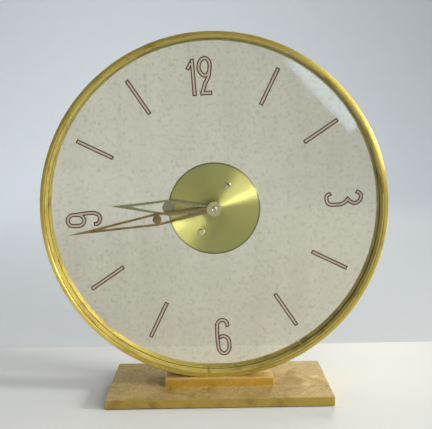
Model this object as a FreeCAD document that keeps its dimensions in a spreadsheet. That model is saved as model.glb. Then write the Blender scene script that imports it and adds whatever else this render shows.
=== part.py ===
import FreeCAD
import Part
import Sketcher
import math
import os
import re
from FreeCAD import Placement, Rotation, Vector

# Desk clock: a polished brass hoop on a stepped brass base, a clear dial glass held in the hoop,
# and a hand-wound movement in a round can behind the middle of the glass.
# Millimetres. +Z is up, the dial faces -Y, and the origin is on the table under the base's middle.
# Directions of axes are degrees in the XZ plane, anticlockwise from +X as seen from the front.
SIZES = {
    # Base
    "base_width": 122.2,
    "base_shift": 1.4,
    "base_depth": 61.0,
    "base_thickness": 4.7,
    "base_chamfer": 0.3,
    "felt_thickness": 0.6,
    "felt_inset": 2.0,
    "step_width": 60.4,
    "step_depth": 22.8,
    "step_height": 4.5,
    # Hoop, its seat on the step and the two studs that hold it down
    "ring_radius": 95.0,
    "ring_wall": 2.3,
    "ring_depth": 17.3,
    "ring_sink": 0.7,
    "seat_clearance": 0.02,
    "stud_spacing": 16.0,
    "stud_radius": 1.5,
    "stud_clearance": 0.1,
    "nut_corner_radius": 3.2,
    "nut_height": 2.0,
    "washer_width": 6.4,
    "washer_thickness": 0.5,
    # Dial glass, the split bands that clamp it and the hour batons on its face
    "glass_thickness": 4.0,
    "glass_clearance": 0.1,
    "glass_hole_radius": 18.5,
    "band_thickness": 0.7,
    "band_recess": 0.3,
    "band_gap_angle": 0.8,
    "front_band_turn": 182.0,
    "rear_band_turn": 148.0,
    "print_rise": 1.35,
    "print_shift": 0.6,
    "print_turn": 3.9,
    "baton_inner_radius": 60.7,
    "baton_outer_radius": 82.8,
    "baton_width": 2.4,
    "baton_thickness": 0.12,
    # Centre disc and the two screws that clamp the glass between it and the movement
    "movement_drop": 0.4,
    "disc_radius": 25.5,
    "disc_thickness": 0.8,
    "disc_hole_radius": 2.6,
    "clamp_circle": 14.7,
    "clamp_direction": 60.0,
    "clamp_screw_radius": 0.9,
    "clamp_head_radius": 1.7,
    "clamp_head_height": 0.8,
    "clamp_post_radius": 2.2,
    "gasket_thickness": 0.4,
    "gasket_width": 4.0,
    # Movement frame
    "frame_plate": 1.5,
    "front_plate_radius": 22.9,
    "back_plate_radius": 21.5,
    "plate_gap": 9.6,
    "pillar_head_radius": 1.5,
    "pillar_head_height": 0.7,
    "pillar_circle": 19.5,
    "pillar_corner_radius": 1.5,
    "can_wall": 0.6,
    "can_space": 5.4,
    "can_clearance": 0.05,
    "can_hole_margin": 0.4,
    # Arbors
    "arbor_radius": 0.3,
    "end_shake": 0.1,
    "running_clearance": 0.04,
    "push_clearance": 0.01,
    "centre_arbor_radius": 0.75,
    "centre_sleeve_wall": 0.35,
    "barrel_arbor_radius": 1.2,
    "key_square": 1.56,
    # Going train
    "barrel_teeth": 72,
    "centre_leaves": 12,
    "barrel_module": 0.25,
    "barrel_direction": -90.0,
    "barrel_radius": 8.0,
    "barrel_wall": 0.5,
    "barrel_cover": 0.4,
    "mainspring_turns": 4,
    "mainspring_thickness": 0.25,
    "mainspring_margin": 0.3,
    "drum_length": 4.6,
    "great_wheel_depth": 1.1,
    "centre_wheel_depth": 7.4,
    "third_wheel_depth": 4.7,
    "fourth_wheel_depth": 1.5,
    "escape_wheel_depth": 3.1,
    "leaf_margin": 0.3,
    "crossing_hub": 1.1,
    "crossing_arm": 0.7,
    "centre_teeth": 64,
    "third_leaves": 8,
    "third_module": 0.2,
    "third_direction": 120.0,
    "third_teeth": 60,
    "fourth_leaves": 8,
    "fourth_module": 0.18,
    "fourth_direction": 20.0,
    "fourth_teeth": 60,
    "escape_leaves": 6,
    "escape_module": 0.18,
    "escape_direction": -10.0,
    "escape_teeth": 15,
    "escape_radius": 3.6,
    "escape_tooth_height": 0.9,
    "escape_rim": 0.4,
    "escape_hub": 0.9,
    "escape_arm": 0.5,
    "pallet_direction": -40.0,
    "pallet_clearance": 0.12,
    "pallet_pin_radius": 0.15,
    "pallet_boss_radius": 0.8,
    "pallet_arm_root": 0.45,
    "pallet_arm_end": 0.3,
    "lever_thickness": 0.4,
    "lever_gap": 0.2,
    "fork_length": 5.4,
    "fork_half_width": 0.35,
    "balance_distance": 7.0,
    "balance_radius": 5.2,
    "balance_rim": 0.8,
    "balance_thickness": 0.9,
    "balance_depth": 5.9,
    "balance_arm_height": 0.7,
    "balance_arm_thickness": 0.5,
    "balance_arm_overlap": 0.2,
    "roller_radius": 1.3,
    "roller_thickness": 0.4,
    "roller_gap": 0.1,
    "hairspring_inner_gap": 0.35,
    "hairspring_outer_radius": 3.4,
    "hairspring_height": 0.4,
    "hairspring_rise": 1.4,
    "hairspring_turns": 4,
    "hairspring_thickness": 0.08,
    "regulator_gap": 0.15,
    "regulator_thickness": 0.45,
    "regulator_bore": 0.7,
    "regulator_ring": 1.5,
    "regulator_reach": 4.7,
    "regulator_half_width": 0.4,
    "wheel_thickness": 0.6,
    # Winding and setting
    "ratchet_teeth": 24,
    "ratchet_radius": 5.2,
    "ratchet_clearance": 0.25,
    "ratchet_thickness": 0.8,
    "ratchet_tooth_height": 0.6,
    "click_direction": 55.0,
    "click_distance": 1.9,
    "click_post_radius": 0.6,
    "click_post_rise": 0.2,
    "click_tail_radius": 1.2,
    "click_nose_clearance": 0.12,
    "click_nose_turn": 24.0,
    "key_boss_radius": 2.2,
    "key_lobe_radius": 2.6,
    "key_lobe_offset": 3.6,
    "key_thickness": 1.6,
    "key_square_gap": 0.2,
    "key_square_reach": 5.2,
    "key_knob_gap": 0.5,
    "knob_radius": 4.6,
    "knob_length": 3.2,
    "knob_taper": 0.6,
    "rear_clearance": 0.4,
    # Motion work
    "cannon_leaves": 12,
    "minute_teeth": 36,
    "minute_leaves": 10,
    "hour_teeth": 40,
    "cannon_module": 0.25,
    "minute_direction": 0.0,
    "cannon_pipe_radius": 1.0,
    "hour_pipe_radius": 1.6,
    "post_radius": 0.5,
    "post_gap": 0.6,
    "motion_gap": 0.1,
    "motion_spacing": 0.4,
    "cannon_front": 0.9,
    "cannon_back": 0.3,
    "leaf_overlap": 0.2,
    # Hands
    "hour_length": 56.3,
    "minute_length": 80.9,
    "hour_turn": 272.2,
    "minute_turn": 260.5,
    "hand_thickness": 0.4,
    "hour_widest": 25.0,
    "hour_half_width": 4.5,
    "hour_neck": 1.4,
    "hour_rail": 1.1,
    "hour_point": 11.0,
    "hour_disc": 3.6,
    "hour_boss": 3.2,
    "minute_widest": 32.0,
    "minute_half_width": 3.5,
    "minute_neck": 1.35,
    "minute_rail": 1.1,
    "minute_point": 15.0,
    "minute_disc": 2.45,
    "minute_boss": 4.1,
    "hand_tip_half_width": 0.15,
    "hand_window_gap": 0.8,
    "hour_height": 1.9,
    "hand_spacing": 0.9,
    "cap_height": 1.2,
    "cap_front_radius": 1.1,
    "cap_back_radius": 1.5,
}

# Pillars stand clear of the barrel, the balance and the train.
PILLAR_DIRECTIONS = (50.0, -60.0, -125.0, 150.0)

doc = FreeCAD.newDocument("desk_clock")
sheet = doc.addObject("Spreadsheet::Sheet", "Sizes")
for row, (alias, number) in enumerate(SIZES.items(), start=1):
    sheet.set(f"A{row}", str(number))
    sheet.setAlias(f"A{row}", alias)
doc.recompute()

pieces = {}


def size(alias):
    """Value of one size, as the sheet holds it."""
    return float(sheet.get(alias))


def formula(text):
    """Formula for setExpression: sizes point at their cells, and places count as plain millimetres."""
    text = re.sub(r"(\w+\.[XYZ])\b", r"(\1 / 1 mm)", text)
    return re.sub(r"[a-z][a-z_]+", lambda word: f"Sizes.{word[0]}" if word[0] in SIZES else word[0], text)


def bind(thing, **formulas):
    for field, text in formulas.items():
        thing.setExpression(field.replace("__", "."), formula(text))


def keep(name, thing):
    """Make an object a piece of the clock: its label names its file."""
    thing.Label = name
    pieces[name] = thing
    return thing


# Places that several pieces share: axes of arbors, as X and Z, and levels along the depth, as Y.
def place_of(name, across="0", depth="0", height="0"):
    point = doc.addObject("Part::Vertex", name)
    bind(point, X=across, Y=depth, Z=height)
    doc.recompute()
    return point


def axis_beside(name, start, distance, direction):
    """Axis at a distance from another one, in a direction that the sheet holds."""
    return place_of(
        name,
        across=f"{start}.X + ({distance}) * cos({direction} * 1 deg)",
        height=f"{start}.Z + ({distance}) * sin({direction} * 1 deg)",
    )


def level(name):
    return doc.getObject(name).Y.Value


place_of("ring_axis", height="felt_thickness + base_thickness + step_height - ring_sink + ring_radius")
place_of("print_axis", across="-print_shift", height="ring_axis.Z + print_rise")
place_of("hub_axis", height="ring_axis.Z - movement_drop")
axis_beside("barrel_axis", "hub_axis", "(barrel_teeth + centre_leaves) * barrel_module / 2",
            "barrel_direction")
axis_beside("third_axis", "hub_axis", "(centre_teeth + third_leaves) * third_module / 2",
            "third_direction")
axis_beside("fourth_axis", "third_axis", "(third_teeth + fourth_leaves) * fourth_module / 2",
            "fourth_direction")
axis_beside("escape_axis", "fourth_axis", "(fourth_teeth + escape_leaves) * escape_module / 2",
            "escape_direction")
axis_beside("pallet_axis", "escape_axis", "escape_radius / cos(30 deg)", "pallet_direction")
axis_beside("balance_axis", "pallet_axis", "balance_distance", "pallet_direction")
axis_beside("minute_axis", "hub_axis", "(cannon_leaves + minute_teeth) * cannon_module / 2",
            "minute_direction")
place_of("glass_front", depth="-glass_thickness / 2")
place_of("glass_back", depth="glass_thickness / 2")
place_of("disc_face", depth="glass_front.Y - disc_thickness")
place_of("plate_face", depth="glass_back.Y + gasket_thickness")
place_of("train_front", depth="plate_face.Y + frame_plate")
place_of("train_back", depth="train_front.Y + plate_gap")
place_of("plate_back", depth="train_back.Y + frame_plate")
place_of("can_back", depth="plate_back.Y + can_space + can_wall")
place_of("knob_front", depth="can_back.Y + rear_clearance")
place_of("hour_level", depth="disc_face.Y - hour_height")
place_of("minute_level", depth="hour_level.Y - hand_thickness - hand_spacing")
place_of("cap_back", depth="minute_level.Y")


# Sketches and bodies
def outline(sketch, corners):
    """Closed outline of straight lines, with both coordinates of each corner bound to the sheet."""
    count = len(corners)
    for index in range(count):
        # Any spread-out start will do: the constraints below fix every corner.
        start, end = (Vector(math.cos(step), math.sin(step), 0)
                      for step in (2 * math.pi * index / count, 2 * math.pi * (index + 1) / count))
        sketch.addGeometry(Part.LineSegment(start, end), False)
    for index in range(count):
        sketch.addConstraint(Sketcher.Constraint("Coincident", index, 2, (index + 1) % count, 1))
    for index, corner in enumerate(corners):
        for kind, text in zip(("DistanceX", "DistanceY"), corner):
            number = sketch.addConstraint(Sketcher.Constraint(kind, index, 1, 1.0))
            sketch.setExpression(f"Constraints[{number}]", formula(text))


def sketched_body(name, corners):
    body = doc.addObject("PartDesign::Body", f"{name}_body")
    sketch = body.newObject("Sketcher::SketchObject", f"{name}_outline")
    plane = next(part for part in body.Origin.OriginFeatures if part.Role == "XY_Plane")
    sketch.AttachmentSupport = [(plane, "")]
    sketch.MapMode = "FlatFace"
    outline(sketch, corners)
    return body, sketch


def turned(name, corners, axis, angle="360", turn="0"):
    """Body of revolution about an axis along Y, from corners given as radius and depth."""
    body, sketch = sketched_body(name, corners)
    lathe = body.newObject("PartDesign::Revolution", f"{name}_turned")
    lathe.Profile = sketch
    lathe.ReferenceAxis = (sketch, ["V_Axis"])
    bind(lathe, Angle=angle)
    body.Placement = Placement(Vector(), Rotation(Vector(0, 1, 0), 0))
    bind(body, Placement__Base__x=f"{axis}.X", Placement__Base__z=f"{axis}.Z",
         Placement__Rotation__Angle=turn)
    return body


def block(name, width, depth, height, bottom, chamfer=None):
    """Rectangular block of the base, its top edges and upright edges chamfered."""
    half, deep = f"({width}) / 2", f"({depth}) / 2"
    body, sketch = sketched_body(name, [(f"-{half}", f"-{deep}"), (half, f"-{deep}"), (half, deep),
                                        (f"-{half}", deep)])
    pad = body.newObject("PartDesign::Pad", f"{name}_pad")
    pad.Profile = sketch
    bind(pad, Length=height)
    bind(body, Placement__Base__x="base_shift", Placement__Base__z=bottom)
    if chamfer:
        doc.recompute()
        edges = [f"Edge{number}" for number, edge in enumerate(pad.Shape.Edges, start=1)
                 if edge.CenterOfMass.z > 1e-6]
        bevel = body.newObject("PartDesign::Chamfer", f"{name}_bevel")
        bevel.Base = (pad, edges)
        bind(bevel, Size=chamfer)
    return body


# Part primitives and booleans
def rod(name, radius, start, length, axis="hub_axis"):
    """Cylinder along Y from a start level."""
    cylinder = doc.addObject("Part::Cylinder", name)
    cylinder.Placement = Placement(Vector(), Rotation(Vector(1, 0, 0), -90))
    bind(cylinder, Radius=radius, Height=length, Placement__Base__x=f"{axis}.X",
         Placement__Base__y=start, Placement__Base__z=f"{axis}.Z")
    return cylinder


def post(name, radius, bottom, height, across):
    """Upright cylinder."""
    cylinder = doc.addObject("Part::Cylinder", name)
    bind(cylinder, Radius=radius, Height=height, Placement__Base__x=across, Placement__Base__z=bottom)
    return cylinder


def hexagon_rod(name, corner_radius, start, length, axis):
    """Hexagonal rod along Y from a start level."""
    prism = doc.addObject("Part::Prism", name)
    prism.Polygon = 6
    prism.Placement = Placement(Vector(), Rotation(Vector(1, 0, 0), -90))
    bind(prism, Circumradius=corner_radius, Height=length, Placement__Base__x=f"{axis}.X",
         Placement__Base__y=start, Placement__Base__z=f"{axis}.Z")
    return prism


def square_block(name, side, bottom, height, across):
    """Upright square block."""
    cube = doc.addObject("Part::Box", name)
    bind(cube, Length=side, Width=side, Height=height, Placement__Base__x=f"{across} - ({side}) / 2",
         Placement__Base__y=f"-({side}) / 2", Placement__Base__z=bottom)
    return cube


def fused(name, parts):
    union = doc.addObject("Part::MultiFuse", name)
    union.Shapes = parts
    return union


def grouped(name, parts):
    group = doc.addObject("Part::Compound", name)
    group.Links = parts
    return group


def cut(name, base, tools):
    cutter = tools[0] if len(tools) == 1 else fused(f"{name}_tools", tools)
    result = doc.addObject("Part::Cut", name)
    result.Base = base
    result.Tool = cutter
    return result


def shaped(name, shape, axis=None):
    """Piece whose shape is worked out in code about the Y axis, then set on its own axis."""
    feature = doc.addObject("Part::Feature", name)
    feature.Shape = shape
    if axis:
        bind(feature, Placement__Base__x=f"{axis}.X", Placement__Base__z=f"{axis}.Z")
    return feature


# Base: a thick brass plate with a smaller step on it, and felt under it.
PLATE_TOP = "felt_thickness + base_thickness"
STEP_TOP = f"{PLATE_TOP} + step_height"
RECESS_DEPTH = "washer_thickness + nut_height + 2 * stud_clearance"

stud_sides = {"left": "-stud_spacing / 2", "right": "stud_spacing / 2"}
plate_blank = block("base_plate", "base_width", "base_depth", "base_thickness", "felt_thickness",
                    "base_chamfer")
step_blank = block("base_step", "step_width", "step_depth", "step_height", PLATE_TOP, "base_chamfer")
hoop_space = rod("hoop_space", "ring_radius + seat_clearance", "-ring_depth / 2 - seat_clearance",
                 "ring_depth + 2 * seat_clearance", "ring_axis")
plate_holes = []
step_holes = [hoop_space]
for side, across in stud_sides.items():
    hole = "stud_radius + stud_clearance"
    plate_holes.append(post(f"{side}_plate_hole", hole, "0", PLATE_TOP, across))
    plate_holes.append(square_block(f"{side}_recess", "washer_width + 4 * stud_clearance", "0",
                                    f"felt_thickness + {RECESS_DEPTH}", across))
    step_holes.append(post(f"{side}_step_hole", hole, "felt_thickness", STEP_TOP, across))
keep("base_plate", cut("base_plate_drilled", plate_blank, plate_holes))
keep("base_step", cut("base_step_drilled", step_blank, step_holes))
keep("felt_pad", block("felt_pad", "base_width - 2 * felt_inset", "base_depth - 2 * felt_inset",
                       "felt_thickness", "0"))

# Hoop: a slice of brass tube.
bore = "(ring_radius - ring_wall)"
half_ring = "ring_depth / 2"
keep("case_ring", turned("case_ring", [
    (bore, f"-{half_ring}"), ("ring_radius", f"-{half_ring}"), ("ring_radius", half_ring), (bore, half_ring),
], "ring_axis"))

# Studs soldered to the hoop pass down through the step and the plate to nuts in counterbores.
hoop_solid = rod("hoop_solid", "ring_radius", f"-{half_ring}", "ring_depth", "ring_axis")
studs, washers, nuts = [], [], []
for side, across in stud_sides.items():
    stud_bottom = "felt_thickness + stud_clearance"
    blank = post(f"{side}_stud_blank", "stud_radius", stud_bottom, f"{STEP_TOP} - ({stud_bottom})", across)
    studs.append(cut(f"{side}_stud", blank, [hoop_solid]))
    washer_bottom = f"felt_thickness + {RECESS_DEPTH} - washer_thickness"
    thread = post(f"{side}_thread", "stud_radius", "0", STEP_TOP, across)
    washer = square_block(f"{side}_washer_blank", "washer_width", washer_bottom, "washer_thickness", across)
    washers.append(cut(f"{side}_washer", washer, [thread]))
    hexagon = doc.addObject("Part::Prism", f"{side}_nut_blank")
    hexagon.Polygon = 6
    bind(hexagon, Circumradius="nut_corner_radius", Height="nut_height", Placement__Base__x=across,
         Placement__Base__z=f"{washer_bottom} - nut_height")
    nuts.append(cut(f"{side}_nut", hexagon, [thread]))
keep("ring_studs", grouped("ring_stud_pair", studs))
keep("stud_washers", grouped("stud_washer_pair", washers))
keep("stud_nuts", grouped("stud_nut_pair", nuts))

# Dial glass, with a hole for the motion work, clamped in the hoop between two split bands.
glass_blank = rod("glass_blank", f"{bore} - glass_clearance", "glass_front.Y", "glass_thickness",
                  "ring_axis")
glass_hole = rod("glass_hole", "glass_hole_radius", "glass_front.Y", "glass_thickness")
keep("dial_glass", cut("dial_glass_drilled", glass_blank, [glass_hole]))


def split_band(name, near, far, turn):
    """Springy band that lines the hoop, open by a small gap at a clock direction."""
    outer = f"{bore} - seat_clearance"
    inner = f"{bore} - seat_clearance - band_thickness"
    # The profile starts at +X, a quarter turn on from the top, and the gap is centred on the turn.
    return turned(name, [(inner, near), (outer, near), (outer, far), (inner, far)], "ring_axis",
                  "360 - band_gap_angle", f"{turn} - 90 + band_gap_angle / 2")


keep("front_retaining_ring", split_band("front_band", f"-{half_ring} + band_recess", "glass_front.Y",
                                        "front_band_turn"))
keep("rear_retaining_ring", split_band("rear_band", "glass_back.Y", f"{half_ring} - band_recess",
                                       "rear_band_turn"))


def flat(points):
    """Face in the XZ plane through corners given as X and Z."""
    corners = [Vector(across, 0, height) for across, height in points]
    return Part.Face(Part.makePolygon(corners + corners[:1]))


def deep(face, start, length):
    """Solid from a face in the XZ plane, between two levels along Y."""
    solid = face.extrude(Vector(0, length, 0))
    solid.translate(Vector(0, start, 0))
    return solid


def polar(radius, direction):
    return radius * math.cos(math.radians(direction)), radius * math.sin(math.radians(direction))


# Printed batons at the eight hours between the numerals, turned with the glass in the hoop.
half_baton = size("baton_width") / 2
baton = deep(flat([(-half_baton, size("baton_inner_radius")), (half_baton, size("baton_inner_radius")),
                   (half_baton, size("baton_outer_radius")), (-half_baton, size("baton_outer_radius"))]),
             level("glass_front") - size("baton_thickness"), size("baton_thickness"))
batons = []
for hour in (1, 2, 4, 5, 7, 8, 10, 11):
    printed = baton.copy()
    printed.rotate(Vector(), Vector(0, 1, 0), 30 * hour - size("print_turn"))
    batons.append(printed)
keep("hour_markers", shaped("hour_batons", Part.makeCompound(batons), "print_axis"))

# Centre disc, with a screw at each side into a post of the movement's front plate.
disc_blank = turned("centre_disc", [
    ("disc_hole_radius", "disc_face.Y"), ("disc_radius", "disc_face.Y"), ("disc_radius", "glass_front.Y"),
    ("disc_hole_radius", "glass_front.Y")], "hub_axis")
disc_holes, clamp_posts, clamp_screws = [], [], []
for index, turn in enumerate(("clamp_direction", "clamp_direction + 180"), start=1):
    spot = f"clamp_axis_{index}"
    axis_beside(spot, "hub_axis", "clamp_circle", f"({turn})")
    disc_holes.append(rod(f"clamp_hole_{index}", "clamp_screw_radius + running_clearance", "disc_face.Y",
                          "disc_thickness", spot))
    clamp_posts.append(rod(f"clamp_post_{index}", "clamp_post_radius", "glass_front.Y",
                           "glass_thickness + gasket_thickness", spot))
    clamp_screws.append(turned(f"clamp_screw_{index}", [
        ("0", "disc_face.Y - clamp_head_height"), ("clamp_head_radius", "disc_face.Y - clamp_head_height"),
        ("clamp_head_radius", "disc_face.Y"), ("clamp_screw_radius", "disc_face.Y"),
        ("clamp_screw_radius", "glass_front.Y"), ("0", "glass_front.Y")], spot))
keep("centre_disc", cut("centre_disc_drilled", disc_blank, disc_holes))
keep("disc_screws", grouped("clamp_screw_pair", clamp_screws))
keep("glass_gasket", turned("glass_gasket", [
    ("front_plate_radius - gasket_width", "glass_back.Y"), ("front_plate_radius", "glass_back.Y"),
    ("front_plate_radius", "plate_face.Y"), ("front_plate_radius - gasket_width", "plate_face.Y")],
    "hub_axis"))

# Movement frame: two round plates on hexagonal pillars. The front plate clamps the glass against the
# centre disc and carries the posts for its screws and the minute wheel's post.
pillars, pillar_screws = [], []
for index, direction in enumerate(PILLAR_DIRECTIONS, start=1):
    spot = f"pillar_axis_{index}"
    axis_beside(spot, "hub_axis", "pillar_circle", str(direction))
    pillars.append(hexagon_rod(f"pillar_{index}", "pillar_corner_radius", "train_front.Y", "plate_gap",
                               spot))
    pillar_screws.append(hexagon_rod(f"pillar_screw_{index}", "pillar_head_radius", "plate_back.Y",
                                     "pillar_head_height", spot))
keep("plate_pillars", grouped("pillar_set", pillars))
keep("pillar_screws", grouped("pillar_screw_set", pillar_screws))


def bearing(name, radius, start, axis):
    """Space in a frame plate for an arbor that turns in it."""
    return rod(name, f"{radius} + running_clearance", start, "frame_plate", axis)


front_blank = rod("front_plate_blank", "front_plate_radius", "plate_face.Y", "frame_plate")
minute_post = rod("minute_post", "post_radius", "glass_front.Y + post_gap",
                  "glass_thickness + gasket_thickness - post_gap", "minute_axis")
front_drilled = cut("front_plate_drilled", front_blank, [
    bearing("front_centre_bearing", "centre_arbor_radius", "plate_face.Y", "hub_axis"),
    bearing("front_barrel_bearing", "barrel_arbor_radius", "plate_face.Y", "barrel_axis")])
keep("front_plate", fused("front_plate_posted", [front_drilled, minute_post] + clamp_posts))
back_blank = rod("back_plate_blank", "back_plate_radius", "train_back.Y", "frame_plate")
back_drilled = cut("back_plate_drilled", back_blank, [
    bearing("back_centre_bearing", "centre_arbor_radius", "train_back.Y", "hub_axis"),
    bearing("back_barrel_bearing", "barrel_arbor_radius", "train_back.Y", "barrel_axis")])

# Can: a spun brass cup pushed over the front plate, with holes for the winding and setting arbors.
can_inside = "(front_plate_radius + can_clearance)"
can_blank = turned("movement_can", [
    (can_inside, "glass_back.Y"), (f"{can_inside} + can_wall", "glass_back.Y"),
    (f"{can_inside} + can_wall", "can_back.Y - can_wall"), (can_inside, "can_back.Y"),
    ("0", "can_back.Y"), ("0", "can_back.Y - can_wall"), (can_inside, "can_back.Y - can_wall")], "hub_axis")
can_holes = [
    rod("setting_hole", "centre_arbor_radius + can_hole_margin", "plate_back.Y", "can_space + can_wall"),
    rod("winding_hole", "barrel_arbor_radius + can_hole_margin", "plate_back.Y", "can_space + can_wall",
        "barrel_axis")]
keep("movement_can", cut("movement_can_pierced", can_blank, can_holes))


# Clock wheels. Their teeth are pointed, as on small clock wheels, and meet the pitch circle at two fifths
# of the pitch, which leaves working backlash.
ADDENDUM = 0.8
DEDENDUM = 1.2


def toothed(teeth, module, phase=0.0):
    """Outline of a wheel or pinion, with one tooth centred on the phase direction."""
    pitch_radius = teeth * module / 2
    half_step = 180 / teeth
    outline_points = []
    for tooth in range(int(teeth)):
        middle = phase + 2 * half_step * tooth
        outline_points.append(polar(pitch_radius + ADDENDUM * module, middle))
        outline_points.append(polar(pitch_radius - DEDENDUM * module, middle + half_step))
    return outline_points


def meshed(direction, phase, teeth, other_teeth):
    """Phase that puts the next wheel's tooth spaces on this wheel's teeth, along their line of centres."""
    passed = (direction - phase) * teeth / 360
    return direction + 180 + (passed - 0.5) * 360 / other_teeth


def crossed(outline_points, hub, rim, arms, arm_width):
    """Wheel face with a window between each two arms, its rim side in short straight facets."""
    face = flat(outline_points)
    step = 360 / arms
    for arm in range(arms):
        start, corners = step * arm, []
        for radius, parts in ((hub, 1), (rim, 4)):
            spread = math.degrees(math.asin(arm_width / 2 / radius))
            turns = [start + spread + (step - 2 * spread) * part / parts for part in range(parts + 1)]
            corners += [polar(radius, turn) for turn in (turns if radius == hub else turns[::-1])]
        face = face.cut(flat(corners))
    return face.Faces[0]


def turned_solid(corners):
    """Solid of revolution about the Y axis, from corners given as radius and depth."""
    points = [Vector(radius, depth, 0) for radius, depth in corners]
    return Part.Face(Part.makePolygon(points + points[:1])).revolve(Vector(), Vector(0, 1, 0), 360)


def ring_solid(inner, outer, start, end):
    return turned_solid([(inner, start), (outer, start), (outer, end), (inner, end)])


def arbor():
    """Arbor between the frame plates, with end shake."""
    start = level("train_front") + size("end_shake")
    length = size("plate_gap") - 2 * size("end_shake")
    return Part.makeCylinder(size("arbor_radius"), length, Vector(0, start, 0), Vector(0, 1, 0))


RIM_MODULES = 3.2


def train_wheel(teeth, module, depth, phase=0.0, arms=4):
    """Crossed-out wheel, its front face at a depth behind the front plate."""
    rim = teeth * module / 2 - RIM_MODULES * module
    face = crossed(toothed(teeth, module, phase), size("crossing_hub"), rim, arms, size("crossing_arm"))
    return deep(face, level("train_front") + depth, size("wheel_thickness"))


def pinion(leaves, module, phase, depth, length):
    return deep(flat(toothed(leaves, module, phase)), level("train_front") + depth, length)


def leaves_for(wheel):
    """Start and length of the pinion that a wheel turns, with a margin at each side."""
    return size(f"{wheel}_depth") - size("leaf_margin"), size("wheel_thickness") + 2 * size("leaf_margin")


# Barrel: a drum on the great wheel with a lid at the back, and the mainspring and its arbor inside.
barrel_phase = meshed(size("barrel_direction"), 0, size("centre_leaves"), size("barrel_teeth"))
wall = size("barrel_wall")
great_wheel_front = level("train_front") + size("great_wheel_depth")
drum_start = great_wheel_front + size("wheel_thickness")
drum_end = drum_start + size("drum_length") - size("barrel_cover")
arbor_space = size("barrel_arbor_radius") + size("running_clearance")
drum_inside = size("barrel_radius") - wall
great_wheel = deep(flat(toothed(size("barrel_teeth"), size("barrel_module"), barrel_phase)),
                   great_wheel_front, size("wheel_thickness"))
arbor_hole = Part.makeCylinder(arbor_space, size("plate_gap"), Vector(0, level("train_front"), 0),
                               Vector(0, 1, 0))
keep("barrel", shaped("great_wheel_and_drum", great_wheel.cut(arbor_hole).fuse(
    ring_solid(drum_inside, size("barrel_radius"), drum_start, drum_end)), "barrel_axis"))
keep("barrel_cover", shaped("barrel_lid", ring_solid(
    arbor_space, size("barrel_radius"), drum_end, drum_end + size("barrel_cover")), "barrel_axis"))


SPIRAL_FACETS = 12


def flat_spiral(inner, outer, turns, thickness, start, height):
    """Strip of spring wound in a flat spiral, in short straight facets."""
    count = int(turns * SPIRAL_FACETS)
    inside, outside = [], []
    for step in range(count + 1):
        radius = inner + (outer - inner) * step / count
        turn = 360 / SPIRAL_FACETS * step
        inside.append(polar(radius - thickness / 2, turn))
        outside.append(polar(radius + thickness / 2, turn))
    return deep(flat(inside + outside[::-1]), start, height)


spring_margin = size("mainspring_margin")
keep("mainspring", shaped("wound_mainspring", flat_spiral(
    size("barrel_arbor_radius") + 1.5 * spring_margin, drum_inside - spring_margin, size("mainspring_turns"),
    size("mainspring_thickness"), drum_start + spring_margin, drum_end - drum_start - 2 * spring_margin),
    "barrel_axis"))

# The barrel arbor carries the ratchet wheel and, on its squared end, the key.
square = size("key_square")
square_start = level("can_back") + size("key_square_gap")
square_length = size("rear_clearance") + size("key_square_reach")
arbor_rod = Part.makeCylinder(size("barrel_arbor_radius"), square_start - level("glass_back"),
                              Vector(0, level("glass_back"), 0), Vector(0, 1, 0))
square_end = Part.makeBox(square, square_length, square, Vector(-square / 2, square_start, -square / 2))
keep("barrel_arbor", shaped("winding_arbor", arbor_rod.fuse(square_end), "barrel_axis"))


def saw_teeth(count, tip, root, lead, phase=0.0):
    """Outline of slanted teeth: each rises slowly and drops steeply."""
    step = 360 / count
    points = []
    for tooth in range(int(count)):
        start = phase + tooth * step
        points += [polar(root, start), polar(tip, start + lead * step)]
    return points


ratchet_start = level("plate_back") + size("ratchet_clearance")
ratchet_root = size("ratchet_radius") - size("ratchet_tooth_height")
ratchet_face = flat(saw_teeth(size("ratchet_teeth"), size("ratchet_radius"), ratchet_root, 0.86))
ratchet = deep(ratchet_face, ratchet_start, size("ratchet_thickness"))
keep("ratchet_wheel", shaped("ratchet", ratchet.cut(Part.makeCylinder(
    size("barrel_arbor_radius"), size("can_space"), Vector(0, level("plate_back"), 0), Vector(0, 1, 0))),
    "barrel_axis"))

# Click: a pawl on a post of the back plate. It stands just clear of the ratchet's points, as when the
# key is turned, and swings in behind a tooth.
click_place = polar(size("ratchet_radius") + size("click_distance"), size("click_direction"))
nose = polar(size("ratchet_radius") + size("click_nose_clearance"),
             size("click_direction") + size("click_nose_turn"))
toe = (nose[0] - click_place[0], nose[1] - click_place[1])
toe_direction = math.degrees(math.atan2(toe[1], toe[0]))
tail = [polar(size("click_tail_radius"), toe_direction + turn) for turn in (90, 135, 180, 225, 270)]
pawl_bore = size("click_post_radius") + size("running_clearance")
pawl_hole = Part.makeCylinder(pawl_bore, size("ratchet_thickness"), Vector(0, ratchet_start, 0),
                              Vector(0, 1, 0))
place_of("click_axis", across=f"barrel_axis.X + {click_place[0]:.4f}",
         height=f"barrel_axis.Z + {click_place[1]:.4f}")
pawl = deep(flat(tail + [polar(math.hypot(*toe), toe_direction)]), ratchet_start, size("ratchet_thickness"))
keep("click", shaped("pawl", pawl.cut(pawl_hole), "click_axis"))
click_post = rod("click_post", "click_post_radius", "plate_back.Y",
                 "ratchet_clearance + ratchet_thickness + click_post_rise", "click_axis")
keep("back_plate", fused("back_plate_posted", [back_drilled, click_post]))

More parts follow.
